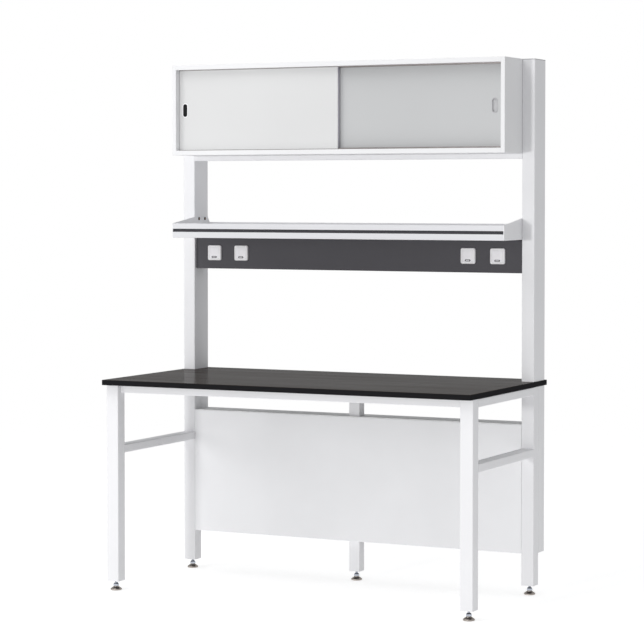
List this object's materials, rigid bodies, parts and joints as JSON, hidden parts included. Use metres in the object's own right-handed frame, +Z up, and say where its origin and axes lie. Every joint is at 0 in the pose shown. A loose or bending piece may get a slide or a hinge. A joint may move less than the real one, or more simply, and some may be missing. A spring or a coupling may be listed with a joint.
{
  "type": "laboratory bench with reagent shelf",
  "caption": "Free-standing lab bench with a dark worktop, power panel, reagent shelf and overhead cabinet with sliding doors, on a white steel frame with levelling feet",
  "frame": {"origin": "on the floor, under the middle of the worktop", "axes": "+X to the right of a person who works at the bench, +Y from that person to the back, +Z up"},
  "size_m": [1.5, 0.75, 2],
  "materials": {
    "worktop_board": "satin dark resin board",
    "frame_paint": "smooth semi-gloss white powder coat",
    "grey_paint": "smooth light grey powder coat",
    "dark_paint": "satin dark grey powder coat",
    "cabinet_board": "white melamine-faced board, light satin",
    "door_board": "white melamine-faced board, light satin",
    "grey_door_board": "light grey melamine-faced board, light satin",
    "track_metal": "satin",
    "black_plastic": "fine matt",
    "grey_plastic": "fine matt",
    "dark_plastic": "fine matt",
    "socket_plastic": "semi-gloss moulded",
    "lid_plastic": "semi-gloss moulded",
    "zinc": "bright zinc plate",
    "foot_metal": "nickel plate, soft shine"
  },
  "bodies": {
    "bench": {"worktop": "worktop_board", "left_front_leg": "frame_paint", "right_front_leg": "frame_paint", "left_rear_leg": "frame_paint", "right_rear_leg": "frame_paint", "middle_rear_leg": "frame_paint", "left_top_rail": "frame_paint", "right_top_rail": "frame_paint", "left_mid_rail": "frame_paint", "right_mid_rail": "frame_paint", "front_top_rail": "frame_paint", "rear_top_rail": "frame_paint", "leg_plugs": "black_plastic", "worktop_tabs": "frame_paint", "worktop_screws": "zinc", "left_chase_side": "frame_paint", "right_chase_side": "frame_paint", "chase_front_panel": "frame_paint", "chase_rear_panel": "frame_paint", "chase_top_cover": "grey_paint", "left_post": "frame_paint", "right_post": "frame_paint", "post_caps": "grey_plastic", "post_base_plates": "zinc", "post_bolts": "zinc", "power_panel": "dark_paint", "power_panel_cover": "dark_paint", "shelf_tray": "frame_paint", "shelf_lip": "frame_paint", "shelf_lip_strip": "dark_plastic", "left_shelf_bracket": "frame_paint", "right_shelf_bracket": "frame_paint", "shelf_bolts": "zinc", "cabinet_rail": "frame_paint", "cabinet_top": "cabinet_board", "cabinet_bottom": "cabinet_board", "cabinet_left_side": "cabinet_board", "cabinet_right_side": "cabinet_board", "cabinet_back": "cabinet_board", "cabinet_bolts": "zinc", "socket_1": "socket_plastic", "socket_2": "socket_plastic", "socket_3": "socket_plastic", "socket_4": "socket_plastic", "upper_door_track": "track_metal", "lower_door_track": "track_metal"},
    "left_door": {"left_door": "door_board", "left_door_pull": "black_plastic"},
    "right_door": {"right_door": "grey_door_board", "right_door_pull": "grey_plastic"},
    "left_front_foot": {"left_front_foot": "foot_metal"},
    "right_front_foot": {"right_front_foot": "foot_metal"},
    "left_rear_foot": {"left_rear_foot": "foot_metal"},
    "right_rear_foot": {"right_rear_foot": "foot_metal"},
    "middle_rear_foot": {"middle_rear_foot": "foot_metal"},
    "socket_lid_1": {"socket_lid_1": "lid_plastic"},
    "socket_lid_2": {"socket_lid_2": "lid_plastic"},
    "socket_lid_3": {"socket_lid_3": "lid_plastic"},
    "socket_lid_4": {"socket_lid_4": "lid_plastic"}
  },
  "joints": [
    {"name": "left_door_slide", "type": "slide", "parent": "bench", "child": "left_door", "axis": [1, 0, 0], "range_m": [0, 0.673]},
    {"name": "right_door_slide", "type": "slide", "parent": "bench", "child": "right_door", "axis": [-1, 0, 0], "range_m": [0, 0.673]},
    {"name": "socket_lid_1_hinge", "type": "hinge", "parent": "bench", "child": "socket_lid_1", "pos_m": [-0.6115, 0.254, 1.2859], "axis": [-1, 0, 0], "range_deg": [0, 95], "stiffness_Nm_per_rad": 0.002, "springref_deg": -85.94},
    {"name": "socket_lid_2_hinge", "type": "hinge", "parent": "bench", "child": "socket_lid_2", "pos_m": [-0.492, 0.254, 1.2859], "axis": [-1, 0, 0], "range_deg": [0, 95], "stiffness_Nm_per_rad": 0.002, "springref_deg": -85.94},
    {"name": "socket_lid_3_hinge", "type": "hinge", "parent": "bench", "child": "socket_lid_3", "pos_m": [0.4765, 0.254, 1.2859], "axis": [-1, 0, 0], "range_deg": [0, 95], "stiffness_Nm_per_rad": 0.002, "springref_deg": -85.94},
    {"name": "socket_lid_4_hinge", "type": "hinge", "parent": "bench", "child": "socket_lid_4", "pos_m": [0.596, 0.254, 1.2859], "axis": [-1, 0, 0], "range_deg": [0, 95], "stiffness_Nm_per_rad": 0.002, "springref_deg": -85.94},
    {"name": "left_front_foot_height", "type": "slide", "parent": "bench", "child": "left_front_foot", "axis": [0, 0, -1], "range_m": [-0.008, 0.02]},
    {"name": "right_front_foot_height", "type": "slide", "parent": "bench", "child": "right_front_foot", "axis": [0, 0, -1], "range_m": [-0.008, 0.02]},
    {"name": "left_rear_foot_height", "type": "slide", "parent": "bench", "child": "left_rear_foot", "axis": [0, 0, -1], "range_m": [-0.008, 0.02]},
    {"name": "right_rear_foot_height", "type": "slide", "parent": "bench", "child": "right_rear_foot", "axis": [0, 0, -1], "range_m": [-0.008, 0.02]},
    {"name": "middle_rear_foot_height", "type": "slide", "parent": "bench", "child": "middle_rear_foot", "axis": [0, 0, -1], "range_m": [-0.008, 0.02]}
  ]
}
